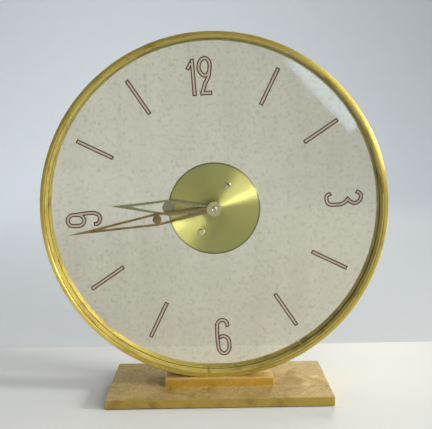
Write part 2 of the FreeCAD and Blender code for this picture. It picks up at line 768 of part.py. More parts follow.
# Winding key: two flat lobes on a boss that slides on the arbor's square. The lobes stand behind the
# set knob, so the key passes it as it turns.
key_start = level("knob_front")
lobe_centre = key_start + size("knob_length") + size("key_knob_gap") + size("key_lobe_radius")
key_end = lobe_centre + size("key_lobe_radius")
key = Part.makeCylinder(size("key_boss_radius"), key_end - key_start, Vector(0, key_start, 0),
                        Vector(0, 1, 0))
for side in (-1, 1):
    corner = Vector(side * size("key_lobe_offset"), lobe_centre, -size("key_thickness") / 2)
    key = key.fuse(Part.makeCylinder(size("key_lobe_radius"), size("key_thickness"), corner))
square_bore = square + 2 * size("running_clearance")
key = key.cut(Part.makeBox(square_bore, square_length, square_bore,
                           Vector(-square_bore / 2, square_start, -square_bore / 2)))
keep("winding_key", shaped("butterfly_key", key, "barrel_axis"))

# Centre arbor: carries the set knob at the back and the cannon pinion and minute hand in front.
keep("centre_arbor", turned("centre_arbor", [
    ("0", "cap_back.Y - cap_height / 2"), ("centre_arbor_radius", "cap_back.Y - cap_height / 2"),
    ("centre_arbor_radius", "knob_front.Y + knob_length"), ("0", "knob_front.Y + knob_length")], "hub_axis"))

# Centre wheel and its pinion on one sleeve, friction-tight on the centre arbor.
sleeve_bore = size("centre_arbor_radius") + size("running_clearance")
sleeve = ring_solid(sleeve_bore, sleeve_bore + size("centre_sleeve_wall"),
                    level("train_front") + size("end_shake"), level("train_back") - size("end_shake"))
centre_pinion = pinion(size("centre_leaves"), size("barrel_module"), 0, *leaves_for("great_wheel"))
centre_wheel = train_wheel(size("centre_teeth"), size("third_module"), size("centre_wheel_depth"))
through_bore = Part.makeCylinder(sleeve_bore, size("plate_gap"), Vector(0, level("train_front"), 0),
                                 Vector(0, 1, 0))
sleeved = sleeve.fuse([centre_pinion, centre_wheel]).cut(through_bore)
keep("centre_wheel", shaped("centre_wheel_and_pinion", sleeved, "hub_axis"))

# Third, fourth and escape wheels: each turns the next one's pinion.
third_phase = meshed(size("third_direction"), 0, size("centre_teeth"), size("third_leaves"))
third_leaves = pinion(size("third_leaves"), size("third_module"), third_phase, *leaves_for("centre_wheel"))
third_disc = train_wheel(size("third_teeth"), size("fourth_module"), size("third_wheel_depth"))
keep("third_wheel", shaped("third_wheel_and_pinion", arbor().fuse([third_leaves, third_disc]), "third_axis"))
fourth_phase = meshed(size("fourth_direction"), 0, size("third_teeth"), size("fourth_leaves"))
fourth_leaves = pinion(size("fourth_leaves"), size("fourth_module"), fourth_phase,
                       *leaves_for("third_wheel"))
fourth_disc = train_wheel(size("fourth_teeth"), size("escape_module"), size("fourth_wheel_depth"))
fourth = arbor().fuse([fourth_leaves, fourth_disc])
keep("fourth_wheel", shaped("fourth_wheel_and_pinion", fourth, "fourth_axis"))
escape_phase = meshed(size("escape_direction"), 0, size("fourth_teeth"), size("escape_leaves"))
escape_step = 360 / size("escape_teeth")
# Each pallet pin stands a quarter of a tooth space from the nearest tooth.
tooth_phase = size("pallet_direction") + 30 + escape_step / 4
escape_root = size("escape_radius") - size("escape_tooth_height")
escape_outline = saw_teeth(size("escape_teeth"), size("escape_radius"), escape_root, 0.5,
                           tooth_phase - 0.54 * escape_step)
escape_face = crossed(escape_outline, size("escape_hub"), escape_root - size("escape_rim"), 4,
                      size("escape_arm"))
escape_front = level("train_front") + size("escape_wheel_depth")
escape_leaves = pinion(size("escape_leaves"), size("escape_module"), escape_phase,
                       *leaves_for("fourth_wheel"))
escape_disc = deep(escape_face, escape_front, size("wheel_thickness"))
escape = arbor().fuse([escape_leaves, escape_disc])
keep("escape_wheel", shaped("escape_wheel_and_pinion", escape, "escape_axis"))

# Pallet lever: two pins over the escape wheel's rim, and a fork that reaches the balance.
lever_thickness = size("lever_thickness")
lever_start = escape_front + size("wheel_thickness") + size("lever_gap")
towards_escape = size("pallet_direction") + 180
pallet_distance = size("escape_radius") / math.cos(math.radians(30))
pin_circle = size("escape_radius") + size("pallet_clearance") + size("pallet_pin_radius")
escape_centre = polar(pallet_distance, towards_escape)


def lever_arm(end, root_half_width, end_half_width):
    """Straight arm of the lever from its axis to an end, tapering in width."""
    along = math.degrees(math.atan2(end[1], end[0]))
    corners = [polar(root_half_width, along + 90), polar(root_half_width, along - 90)]
    for side in (-90, 90):
        across, height = polar(end_half_width, along + side)
        corners.append((end[0] + across, end[1] + height))
    return deep(flat(corners), lever_start, lever_thickness)


lever = Part.makeCylinder(size("pallet_boss_radius"), lever_thickness, Vector(0, lever_start, 0),
                          Vector(0, 1, 0))
pin_length = lever_start + lever_thickness - escape_front
for side in (-1, 1):
    across, height = polar(pin_circle, size("pallet_direction") + 30 * side)
    pin_place = (across + escape_centre[0], height + escape_centre[1])
    arm = lever_arm(pin_place, size("pallet_arm_root"), size("pallet_arm_end"))
    pin = Part.makeCylinder(size("pallet_pin_radius"), pin_length,
                            Vector(pin_place[0], escape_front, pin_place[1]), Vector(0, 1, 0))
    lever = lever.fuse([arm, pin])
fork = lever_arm(polar(size("fork_length"), size("pallet_direction")), size("fork_half_width"),
                 size("fork_half_width"))
keep("pallet_lever", shaped("pin_pallet_lever", lever.fuse([fork, arbor()]), "pallet_axis"))

# Balance: a two-armed rim on a staff, with a small roller over the end of the fork.
balance_front = level("train_front") + size("balance_depth")
rim_inside = size("balance_radius") - size("balance_rim")
rim = ring_solid(rim_inside, size("balance_radius"), balance_front,
                 balance_front + size("balance_thickness"))
arm_reach = rim_inside + size("balance_arm_overlap")
arm_height = size("balance_arm_height")
arm = Part.makeBox(2 * arm_reach, size("balance_arm_thickness"), arm_height,
                   Vector(-arm_reach, balance_front, -arm_height / 2))
roller = Part.makeCylinder(size("roller_radius"), size("roller_thickness"),
                           Vector(0, lever_start + lever_thickness + size("roller_gap"), 0), Vector(0, 1, 0))
keep("balance_wheel", shaped("balance_and_staff", arbor().fuse([rim, arm, roller]), "balance_axis"))
keep("hairspring", shaped("balance_spring", flat_spiral(
    size("arbor_radius") + size("hairspring_inner_gap"), size("hairspring_outer_radius"),
    size("hairspring_turns"), size("hairspring_thickness"), balance_front + size("hairspring_rise"),
    size("hairspring_height")), "balance_axis"))

# Regulator: an index under the back plate that turns about the balance's axis.
index_back = level("train_back") - size("regulator_gap")
index_start = index_back - size("regulator_thickness")
index_half = size("regulator_half_width")
index_root = (size("regulator_bore") + size("regulator_ring")) / 2
index_ring = ring_solid(size("regulator_bore"), size("regulator_ring"), index_start, index_back)
index_reach = size("regulator_reach")
index_arm = deep(flat([(-index_half, index_root), (index_half, index_root), (index_half, index_reach),
                       (-index_half, index_reach)]), index_start, size("regulator_thickness"))
keep("regulator", shaped("regulator_index", index_ring.fuse(index_arm), "balance_axis"))

# Motion work in the hole of the glass: cannon pinion, minute wheel and hour wheel.
motion_distance = (size("cannon_leaves") + size("minute_teeth")) * size("cannon_module") / 2
hour_module = 2 * motion_distance / (size("minute_leaves") + size("hour_teeth"))
pipe_bore = size("centre_arbor_radius") + size("push_clearance")
pipe_outer = size("cannon_pipe_radius")
minute_back = level("glass_back") - size("motion_gap")
minute_front = minute_back - size("wheel_thickness")
hour_back = minute_front - size("motion_spacing")
hour_front = hour_back - size("wheel_thickness")
cannon_back = minute_back + size("cannon_back")
cannon_teeth = deep(flat(toothed(size("cannon_leaves"), size("cannon_module"), 0)),
                    minute_back - size("cannon_front"), size("cannon_front") + size("cannon_back"))
cannon_pipe = turned_solid([(pipe_bore, level("minute_level")), (pipe_outer, level("minute_level")),
                            (pipe_outer, cannon_back), (pipe_bore, cannon_back)])
cannon_hole = Part.makeCylinder(pipe_bore, size("glass_thickness"),
                                Vector(0, cannon_back - size("glass_thickness"), 0), Vector(0, 1, 0))
keep("cannon_pinion", shaped("cannon", cannon_pipe.fuse(cannon_teeth).cut(cannon_hole), "hub_axis"))

minute_phase = meshed(size("minute_direction"), 0, size("cannon_leaves"), size("minute_teeth"))
post_bore = size("post_radius") + size("running_clearance")
minute_blank = deep(flat(toothed(size("minute_teeth"), size("cannon_module"), minute_phase)), minute_front,
                    size("wheel_thickness"))
leaf_front = hour_front - size("leaf_overlap")
minute_leaf = deep(flat(toothed(size("minute_leaves"), hour_module, 0)), leaf_front,
                   minute_back - leaf_front)
post_hole = Part.makeCylinder(post_bore, size("glass_thickness"), Vector(0, level("glass_front"), 0),
                              Vector(0, 1, 0))
minute_solid = minute_blank.fuse(minute_leaf).cut(post_hole)
keep("minute_wheel", shaped("minute_wheel_and_pinion", minute_solid, "minute_axis"))

hour_phase = meshed(size("minute_direction") + 180, 0, size("minute_leaves"), size("hour_teeth"))
hour_bore = size("cannon_pipe_radius") + size("running_clearance")
hour_disc = deep(flat(toothed(size("hour_teeth"), hour_module, hour_phase)), hour_front,
                 size("wheel_thickness"))
hour_pipe = ring_solid(hour_bore, size("hour_pipe_radius"), level("hour_level"), hour_back)
pipe_hole = Part.makeCylinder(hour_bore, hour_back - level("hour_level"), Vector(0, level("hour_level"), 0),
                              Vector(0, 1, 0))
hour_solid = hour_disc.fuse(hour_pipe).cut(pipe_hole)
keep("hour_wheel", shaped("hour_wheel_and_pipe", hour_solid, "hub_axis"))


# Hands: pierced lozenges with a small disc at the widest place and a solid point.
def hand(work, bore_radius):
    """Hand turned to its time, with its front face at its work's level."""
    length, widest, half_width, neck, rail, point, disc, boss = (size(f"{work}_{name}") for name in (
        "length", "widest", "half_width", "neck", "rail", "point", "disc", "boss"))
    start, thickness, tip = level(f"{work}_level"), size("hand_thickness"), size("hand_tip_half_width")
    blade = flat([(-neck, 0), (neck, 0), (half_width, widest), (tip, length), (-tip, length),
                  (-half_width, widest)])
    inner_neck = max(neck - rail, tip)
    window_start = boss + size("hand_window_gap")
    window = flat([(-inner_neck, window_start), (inner_neck, window_start), (half_width - rail, widest),
                   (tip, length - point), (-tip, length - point), (rail - half_width, widest)])
    solid = deep(blade.cut(window).Faces[0], start, thickness)
    dot = Part.makeCylinder(disc, thickness, Vector(0, start, widest), Vector(0, 1, 0))
    middle = Part.makeCylinder(boss, thickness, Vector(0, start, 0), Vector(0, 1, 0))
    hole = Part.makeCylinder(bore_radius, thickness, Vector(0, start, 0), Vector(0, 1, 0))
    whole = solid.fuse([dot, middle]).cut(hole)
    whole.rotate(Vector(), Vector(0, 1, 0), size(f"{work}_turn"))
    return whole


keep("hour_hand", shaped("hour_hand_blank", hand("hour", size("hour_pipe_radius")), "hub_axis"))
keep("minute_hand", shaped("minute_hand_blank", hand("minute", size("cannon_pipe_radius")), "hub_axis"))

# Round nut that holds the minute hand, and the knob that sets the hands from behind.
keep("hand_nut", turned("hand_nut", [
    ("centre_arbor_radius", "cap_back.Y - cap_height"), ("cap_front_radius", "cap_back.Y - cap_height"),
    ("cap_back_radius", "cap_back.Y"), ("centre_arbor_radius", "cap_back.Y")], "hub_axis"))
knob_back = "knob_front.Y + knob_length"
keep("set_knob", turned("set_knob", [
    ("centre_arbor_radius", "knob_front.Y"), ("knob_radius - knob_taper", "knob_front.Y"),
    ("knob_radius", knob_back), ("centre_arbor_radius", knob_back)], "hub_axis"))

doc.recompute()
failed = [thing.Name for thing in doc.Objects if "Invalid" in thing.State or "Error" in thing.State]
if failed:
    raise RuntimeError(f"these objects failed: {failed}")
for name, piece in pieces.items():
    if piece.Shape.isNull() or not piece.Shape.isValid() or not piece.Shape.Solids:
        raise RuntimeError(f"{name} has no valid solid")

os.makedirs("parts", exist_ok=True)
for name, piece in pieces.items():
    piece.Shape.exportStep(f"parts/{name}.step")
    print(f"{name}: {len(piece.Shape.Solids)} solids, {piece.Shape.Volume:.1f} cubic mm")
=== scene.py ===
from math import cos, pi, radians, sin

import bmesh
import bpy
from mathutils import Matrix, Vector


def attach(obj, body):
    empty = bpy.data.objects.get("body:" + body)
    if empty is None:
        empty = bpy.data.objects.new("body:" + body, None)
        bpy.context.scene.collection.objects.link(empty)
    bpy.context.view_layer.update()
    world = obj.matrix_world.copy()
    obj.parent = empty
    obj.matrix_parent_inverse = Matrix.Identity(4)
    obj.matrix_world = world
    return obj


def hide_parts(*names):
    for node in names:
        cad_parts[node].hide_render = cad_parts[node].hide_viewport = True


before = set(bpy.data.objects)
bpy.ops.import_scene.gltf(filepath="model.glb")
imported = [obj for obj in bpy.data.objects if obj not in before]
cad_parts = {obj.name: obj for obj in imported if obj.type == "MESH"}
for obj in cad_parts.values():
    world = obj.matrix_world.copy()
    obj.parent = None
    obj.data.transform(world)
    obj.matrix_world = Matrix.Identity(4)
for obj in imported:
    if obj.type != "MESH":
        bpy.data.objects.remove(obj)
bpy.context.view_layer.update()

# Camera: it stands 390 mm in front of the dial, a little above the middle, and looks slightly down.
# Its place, lens and tilt put the hoop and the base's corners where the photograph has them.
MM = 0.001
camera_place = Vector((-1.2, -391.1, 143.46)) * MM
camera_yaw, camera_pitch, camera_roll = radians(0.305), radians(-6.333), radians(-0.813)
ahead = Vector((sin(camera_yaw) * cos(camera_pitch), cos(camera_yaw) * cos(camera_pitch),
                sin(camera_pitch)))
level_right = Vector((cos(camera_yaw), -sin(camera_yaw), 0))
level_up = level_right.cross(ahead)
camera_right = level_right * cos(camera_roll) + level_up * sin(camera_roll)
camera_up = level_up * cos(camera_roll) - level_right * sin(camera_roll)
lens = bpy.data.cameras.new("camera")
lens.sensor_fit = "HORIZONTAL"
lens.sensor_width = 36
lens.lens = 58.833
lens.clip_start = 0.01
camera = bpy.data.objects.new("camera", lens)
bpy.context.collection.objects.link(camera)
camera.matrix_world = Matrix((camera_right, camera_up, -ahead)).transposed().to_4x4()
camera.location = camera_place
bpy.context.scene.camera = camera

# Light: a tall window in front at the right gives the main light, and a small one farther round casts the
# clock's shadow to the left. A pane behind the clock, a pale ceiling and a lamp on the wall fill in. A
# narrow pane behind the camera is the bluish glare on the dial glass.


def window(name, place, aim, width, height, watts, colour, spread=180):
    """Soft lamp of a width and height in metres. It shines from its place at its aim."""
    light = bpy.data.lights.new(name, "AREA")
    light.shape = "RECTANGLE"
    light.size = width
    light.size_y = height
    light.energy = watts
    light.color = colour
    light.spread = radians(spread)
    lamp = bpy.data.objects.new(name, light)
    bpy.context.collection.objects.link(lamp)
    lamp.visible_camera = False
    lamp.location = place
    lamp.rotation_euler = (Vector(aim) - Vector(place)).to_track_quat("-Z", "Y").to_euler()
    return lamp


window("right_window", place=(0.95, -1.0, 0.64), aim=(0, 0, 0.1), width=0.5, height=1.0, watts=9,
       colour=(1.0, 0.96, 0.80))
window("side_window", place=(1.35, -0.32, 0.5), aim=(-0.2, 0, 0), width=0.25, height=0.3, watts=1.3,
       colour=(1.0, 0.99, 0.97), spread=50)
rear_pane = window("rear_pane", place=(0.34, 1.15, 0.3), aim=(0, 0, 0.1), width=0.35, height=0.35,
                   watts=0.2, colour=(1.0, 0.94, 0.72), spread=50)
rear_pane.visible_transmission = False
glare_pane = window("glare_pane", place=(0.31, -1.5, 0.27), aim=(0.03, 0, 0.13), width=0.075, height=0.26,
                    watts=0.26, colour=(0.55, 0.75, 1.0))
glare_pane.rotation_euler.rotate_axis("Z", radians(42))
window("ceiling", place=(0.3, 0.1, 1.9), aim=(0, 0, 0), width=1.6, height=1.4, watts=5,
       colour=(0.94, 0.97, 1.0))
window("wall_lamp", place=(-0.3, 0.7, 1.3), aim=(-0.2, 1.45, 0), width=1.4, height=0.4, watts=6.5,
       colour=(0.95, 0.98, 1.0), spread=120)
bpy.context.scene.view_settings.view_transform = "Standard"

# Room: what the polished brass mirrors all round the clock, pale above and darker below.


def feed(tree, target, inputs):
    """Gives a node's inputs their values, or links them where another node's output is given."""
    for name, value in inputs.items():
        if isinstance(value, bpy.types.NodeSocket):
            tree.links.new(value, target.inputs[name])
        else:
            target.inputs[name].default_value = value


def node(tree, kind, inputs=None, **settings):
    """Adds a shader node with its settings and its inputs."""
    made = tree.nodes.new("ShaderNode" + kind)
    for name, value in settings.items():
        setattr(made, name, value)
    feed(tree, made, inputs or {})
    return made


def calculated(tree, operation, *values, **settings):
    """Result of a sum on values or on other nodes' outputs."""
    return node(tree, "Math", dict(enumerate(values)), operation=operation, **settings).outputs[0]


def colour_ramp(tree, share, *stops):
    """Colour that runs through stops, each with its place and colour, as a share goes from 0 to 1."""
    ramp = node(tree, "ValToRGB", {0: share})
    first, last = ramp.color_ramp.elements
    first.position, first.color = stops[0]
    last.position, last.color = stops[-1]
    for place, colour in stops[1:-1]:
        ramp.color_ramp.elements.new(place).color = colour
    return ramp.outputs[0]


room = bpy.data.worlds.new("room")
bpy.context.scene.world = room
room.use_nodes = True
room_tree = room.node_tree
room_place = node(room_tree, "TexCoord").outputs["Generated"]
room_height = node(room_tree, "SeparateXYZ", {0: room_place}).outputs["Z"]
room_colour = colour_ramp(
    room_tree, calculated(room_tree, "MULTIPLY_ADD", room_height, 0.5, 0.5),
    (0.30, (0.10, 0.09, 0.08, 1)), (0.52, (0.42, 0.42, 0.41, 1)), (0.75, (0.80, 0.84, 0.88, 1)))
feed(room_tree, room_tree.nodes["Background"], {"Color": room_colour, "Strength": 0.3})

# Table: a plain white top that ends a little behind the clock, and behind it a pale grey sweep that
# curves up into a wall.


def alone(piece):
    """Only this piece is selected, and operators act on it."""
    if bpy.context.object and bpy.context.object.mode != "OBJECT":
        bpy.ops.object.mode_set(mode="OBJECT")
    bpy.ops.object.select_all(action="DESELECT")
    piece.select_set(True)
    bpy.context.view_layer.objects.active = piece


def started(name, primitive, scale=(1, 1, 1), place=(0, 0, 0), **settings):
    """Starts a piece as a primitive of a size at a place, with its own origin at the scene's."""
    bpy.ops.object.select_all(action="DESELECT")
    primitive(**settings)
    piece = bpy.context.object
    piece.name = name
    piece.scale = scale
    piece.location = place
    bpy.ops.object.transform_apply(location=True, rotation=True, scale=True)
    return piece


def pick(piece, wanted, kind="FACE"):
    """In edit mode, selects the vertices, edges or faces that pass a test, and nothing else."""
    alone(piece)
    bpy.ops.object.mode_set(mode="EDIT")
    bpy.context.tool_settings.mesh_select_mode = (kind == "VERT", kind == "EDGE", kind == "FACE")
    bpy.ops.mesh.select_all(action="DESELECT")
    mesh = bmesh.from_edit_mesh(piece.data)
    for part in {"VERT": mesh.verts, "EDGE": mesh.edges, "FACE": mesh.faces}[kind]:
        if wanted(part):
            part.select_set(True)
    bmesh.update_edit_mesh(piece.data)


def new_finish(name):
    """New material, with its node tree and its shader."""
    finish = bpy.data.materials.new(name)
    finish.use_nodes = True
    return finish, finish.node_tree, finish.node_tree.nodes["Principled BSDF"]


def object_place(tree):
    """Each point's place on the clock, in metres."""
    return node(tree, "TexCoord").outputs["Object"]


def noise(tree, place, scale, detail, roughness=0.5, distortion=0.0):
    """Cloudy value from 0 to 1."""
    return node(tree, "TexNoise", {"Vector": place, "Scale": scale, "Detail": detail,
                                   "Roughness": roughness, "Distortion": distortion}).outputs[0]


def painted(name, colour, roughness):
    """Matt paint with a faint mottle."""
    paint, tree, shader = new_finish(name)
    mottle = colour_ramp(tree, noise(tree, object_place(tree), scale=30, detail=4),
                         (0.0, (*[0.97 * part for part in colour], 1)), (1.0, (*colour, 1)))
    feed(tree, shader, {"Base Color": mottle, "Roughness": roughness})
    return paint


stage_width, table_front, table_back, sweep_back = 6, -3, 84 * MM, 1.9
wall_height, sweep_radius = 2.4, 0.7
table_top = started("table_top", bpy.ops.mesh.primitive_plane_add, size=1,
                    scale=(stage_width, table_back - table_front, 1),
                    place=(0, (table_back + table_front) / 2, 0))
table_top.data.materials.append(painted("white_table", (0.82, 0.83, 0.84), 0.5))
backdrop = started("backdrop", bpy.ops.mesh.primitive_plane_add, size=1,
                   scale=(stage_width, sweep_back - table_back, 1),
                   place=(0, (sweep_back + table_back) / 2, 0))
pick(backdrop, lambda edge: all(vert.co.y > table_back + 1 for vert in edge.verts), "EDGE")
bpy.ops.mesh.extrude_region_move(TRANSFORM_OT_translate={"value": (0, 0, wall_height)})
pick(backdrop, lambda edge: all(vert.co.y > table_back + 1 and vert.co.z < wall_height / 2
                                for vert in edge.verts), "EDGE")
bpy.ops.mesh.bevel(offset=sweep_radius, segments=24, affect="EDGES")
bpy.ops.object.mode_set(mode="OBJECT")
bpy.ops.object.shade_smooth()
backdrop.data.materials.append(painted("grey_wall", (0.72, 0.75, 0.78), 0.8))

# Base plate and step: two slabs of brass, milled flat with their edges just broken. They have long
# tarnished, so that the satin faces are blotched in olive and brown, and a pale dust lies on their upper
# faces. They are the CAD nodes with that finish.


def node_group(name, inputs, outputs):
    """Node group with its inputs, each with a kind and a start value, and its outputs."""
    group = bpy.data.node_groups.new(name, "ShaderNodeTree")
    for label, (kind, start) in inputs.items():
        socket = group.interface.new_socket(name=label, in_out="INPUT", socket_type="NodeSocket" + kind)
        socket.default_value = start
    for label, kind in outputs.items():
        group.interface.new_socket(name=label, in_out="OUTPUT", socket_type="NodeSocket" + kind)
    return group, group.nodes.new("NodeGroupInput").outputs, group.nodes.new("NodeGroupOutput")


def mapped(tree, value, low, high, low_result=0.0, high_result=1.0, **settings):
    """Carries a value from one range to another."""
    return node(tree, "MapRange", {"Value": value, "From Min": low, "From Max": high,
                                   "To Min": low_result, "To Max": high_result}, **settings).outputs[0]


def mixed(tree, share, first, second, **settings):
    """Mix of two colours: a share of 0 gives the first and 1 the second."""
    return node(tree, "Mix", {"Factor": share, 6: first, 7: second}, data_type="RGBA",
                **settings).outputs[2]


patina, patina_in, patina_out = node_group("patina", {
    "Clean": ("Color", (0.8, 0.6, 0.2, 1)), "Stained": ("Color", (0.3, 0.2, 0.1, 1)),
    "Patches": ("Float", 60.0), "Share": ("Float", 0.4), "Smooth": ("Float", 0.2), "Dull": ("Float", 0.5)},
    {"Color": "Color", "Roughness": "Float", "Height": "Float"})
patina_place = object_place(patina)
clouds = noise(patina, patina_place, patina_in["Patches"], detail=7, roughness=0.62, distortion=0.3)
grain = noise(patina, patina_place, scale=1400, detail=4)
stain_start = calculated(patina, "MULTIPLY_ADD", patina_in["Share"], -0.5, 0.72)
stain_full = calculated(patina, "ADD", stain_start, 0.22)
stain = mapped(patina, clouds, stain_start, stain_full, interpolation_type="SMOOTHSTEP")
speckle = calculated(patina, "MULTIPLY_ADD", grain, 0.3, -0.12)
stain_share = calculated(patina, "ADD", stain, speckle, use_clamp=True)
stain_roughness = node(patina, "Mix", {"Factor": stain_share, 2: patina_in["Smooth"],
                                       3: patina_in["Dull"]}, data_type="FLOAT")
feed(patina, patina_out, {"Color": mixed(patina, stain_share, patina_in["Clean"], patina_in["Stained"]),
                          "Roughness": stain_roughness.outputs[0], "Height": grain})


def worn_finish(name, clean, stained, patches, share, smooth, dull):
    """Material whose colour and roughness come from the patina group. It returns the group's outputs too."""
    finish, tree, shader = new_finish(name)
    worn = node(tree, "Group", {"Clean": (*clean, 1), "Stained": (*stained, 1), "Patches": patches,
                                "Share": share, "Smooth": smooth, "Dull": dull}, node_tree=patina).outputs
    feed(tree, shader, {"Base Color": worn["Color"], "Roughness": worn["Roughness"]})
    return finish, tree, shader, worn


def metal(name, clean, stained, patches, share, smooth, dull, relief):
    """Metal with tarnish in patches, and a fine grain as deep as its relief."""
    finish, tree, shader, worn = worn_finish(name, clean, stained, patches, share, smooth, dull)
    bump = node(tree, "Bump", {"Strength": relief, "Distance": 0.2 * MM, "Height": worn["Height"]})
    feed(tree, shader, {"Metallic": 1.0, "Normal": bump.outputs["Normal"]})
    return finish


def dressed(name, finish):
    """Gives a CAD node its finish."""
    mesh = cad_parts[name].data
    mesh.materials.clear()
    mesh.materials.append(finish)


settled_dust, dust_in, dust_out = node_group("settled_dust", {
    "Color": ("Color", (0.8, 0.6, 0.2, 1)), "Roughness": ("Float", 0.4),
    "Dust": ("Color", (0.5, 0.4, 0.3, 1)), "Amount": ("Float", 0.7), "Patches": ("Float", 40.0)},
    {"Color": "Color", "Roughness": "Float", "Metallic": "Float"})
dust_place = object_place(settled_dust)
face_normal = node(settled_dust, "NewGeometry").outputs["Normal"]
face_up = node(settled_dust, "SeparateXYZ", {0: face_normal}).outputs["Z"]
level_face = mapped(settled_dust, face_up, low=0.5, high=0.95)
dust_clouds = noise(settled_dust, dust_place, dust_in["Patches"], detail=5, roughness=0.9)
dust_cover = mapped(settled_dust, dust_clouds, low=0.30, high=0.56, interpolation_type="SMOOTHSTEP")
dust_grain = noise(settled_dust, dust_place, scale=650, detail=3, roughness=0.8)
dust_tone = mapped(settled_dust, dust_grain, low=0.35, high=0.65, low_result=0.62, high_result=1.25)
dust_colour = mixed(settled_dust, 1, dust_in["Dust"], dust_tone, blend_type="MULTIPLY")
dust_share = calculated(settled_dust, "MULTIPLY", level_face, dust_cover)
dust_share = calculated(settled_dust, "MULTIPLY", dust_share, dust_in["Amount"], use_clamp=True)
feed(settled_dust, dust_out, {
    "Color": mixed(settled_dust, dust_share, dust_in["Color"], dust_colour),
    "Roughness": calculated(settled_dust, "MULTIPLY_ADD", dust_share, 0.25, dust_in["Roughness"]),
    "Metallic": calculated(settled_dust, "MULTIPLY_ADD", dust_share, -0.75, 1.0)})


def dusty(finish, dust, amount, patches):
    """Lays dust on the upper faces of a metal finish."""
    tree, shader = finish.node_tree, finish.node_tree.nodes["Principled BSDF"]
    clean_colour = shader.inputs["Base Color"].links[0].from_socket
    clean_roughness = shader.inputs["Roughness"].links[0].from_socket
    layer = node(tree, "Group", {"Color": clean_colour, "Roughness": clean_roughness, "Dust": (*dust, 1),
                                 "Amount": amount, "Patches": patches}, node_tree=settled_dust).outputs
    feed(tree, shader, {"Base Color": layer["Color"], "Roughness": layer["Roughness"],
                        "Metallic": layer["Metallic"]})
    return finish


base_brass = metal("base_brass", clean=(0.54, 0.38, 0.09), stained=(0.36, 0.25, 0.07), patches=75,
                   share=0.50, smooth=0.36, dull=0.55, relief=0.2)
step_brass = metal("step_brass", clean=(0.98, 0.70, 0.17), stained=(0.72, 0.50, 0.15), patches=90,
                   share=0.42, smooth=0.32, dull=0.5, relief=0.2)
dressed("base_plate", dusty(base_brass, dust=(0.58, 0.43, 0.20), amount=0.8, patches=110))
dressed("base_step", dusty(step_brass, dust=(0.60, 0.45, 0.25), amount=0.7, patches=110))

# Felt: a thin dark sheet glued under the base plate, a little smaller than it, with a fuzzy cut edge.
felt_width, felt_depth, felt_thickness = 118.2 * MM, 57 * MM, 0.6 * MM
felt_middle = 1.4 * MM
felt = started("felt_sheet", bpy.ops.mesh.primitive_cube_add, size=1,
               scale=(felt_width, felt_depth, felt_thickness), place=(felt_middle, 0, felt_thickness / 2))
felt_edge = felt.modifiers.new("edge", "BEVEL")
felt_edge.width = 0.12 * MM
felt_edge.segments = 2
bpy.ops.object.modifier_apply(modifier="edge")
felt_cloth, felt_tree, felt_shader = new_finish("felt")
fibres = noise(felt_tree, object_place(felt_tree), scale=1800, detail=6)
fibre_bump = node(felt_tree, "Bump", {"Strength": 0.6, "Distance": 0.2 * MM, "Height": fibres})
fibre_colour = colour_ramp(felt_tree, fibres,
                           (0.0, (0.012, 0.016, 0.014, 1)), (1.0, (0.05, 0.06, 0.05, 1)))
feed(felt_tree, felt_shader, {"Base Color": fibre_colour, "Normal": fibre_bump.outputs["Normal"],
                              "Roughness": 0.95, "Sheen Weight": 0.4})
felt.data.materials.append(felt_cloth)
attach(felt, "root")
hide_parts("felt_pad")

# Hoop: a slice of heavy brass tube, turned and polished, that stands on the step. Its polish has dulled
# in patches and its edges are rounded by the buff.
hoop_middle = Vector((0, 0, 104.1)) * MM
hoop_radius, hoop_wall, hoop_depth = 95 * MM, 2.3 * MM, 17.3 * MM
ROUND = 256


def disc_block(name, radius, front, back, middle, sides=ROUND):
    """Round block whose axis runs from front to back through a middle."""
    return started(name, bpy.ops.mesh.primitive_cylinder_add, vertices=sides, radius=radius,
                   depth=back - front, rotation=(pi / 2, 0, 0),
                   place=(middle.x, (front + back) / 2, middle.z))


def bored(piece, outer, inner, shift=0.0):
    """Cuts a round hole through a disc block, its middle shifted along Z."""
    pick(piece, lambda face: len(face.verts) > 4)
    bpy.ops.mesh.inset(thickness=(outer - inner) * cos(pi / ROUND), use_individual=True)
    bpy.ops.transform.translate(value=(0, 0, shift))
    bpy.ops.mesh.delete(type="ONLY_FACE")
    pick(piece, lambda edge: edge.is_boundary, "EDGE")
    bpy.ops.mesh.bridge_edge_loops()
    bpy.ops.mesh.select_all(action="SELECT")
    bpy.ops.mesh.normals_make_consistent(inside=False)
    bpy.ops.object.mode_set(mode="OBJECT")


def softened(piece, width, steps, angle=35):
    """Rounds the sharp edges, then shades the piece smooth with its flat faces kept flat."""
    alone(piece)
    soft = piece.modifiers.new("soft", "BEVEL")
    soft.width = width
    soft.segments = steps
    soft.limit_method = "ANGLE"
    soft.angle_limit = radians(angle)
    bpy.ops.object.modifier_apply(modifier="soft")
    bpy.ops.object.shade_smooth()
    weighted = piece.modifiers.new("weighted", "WEIGHTED_NORMAL")
    weighted.weight = 90
    bpy.ops.object.modifier_apply(modifier="weighted")


def placed(piece, finish, slot, *nodes, body="root"):
    """Gives a piece its finish and its body, and hides the CAD nodes it stands for."""
    piece.data.materials.clear()
    piece.data.materials.append(finish)
    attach(piece, body)
    if nodes:
        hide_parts(*nodes)


hoop = disc_block("hoop", hoop_radius, -hoop_depth / 2, hoop_depth / 2, hoop_middle)
bored(hoop, hoop_radius, hoop_radius - hoop_wall)
softened(hoop, width=0.5 * MM, steps=4)

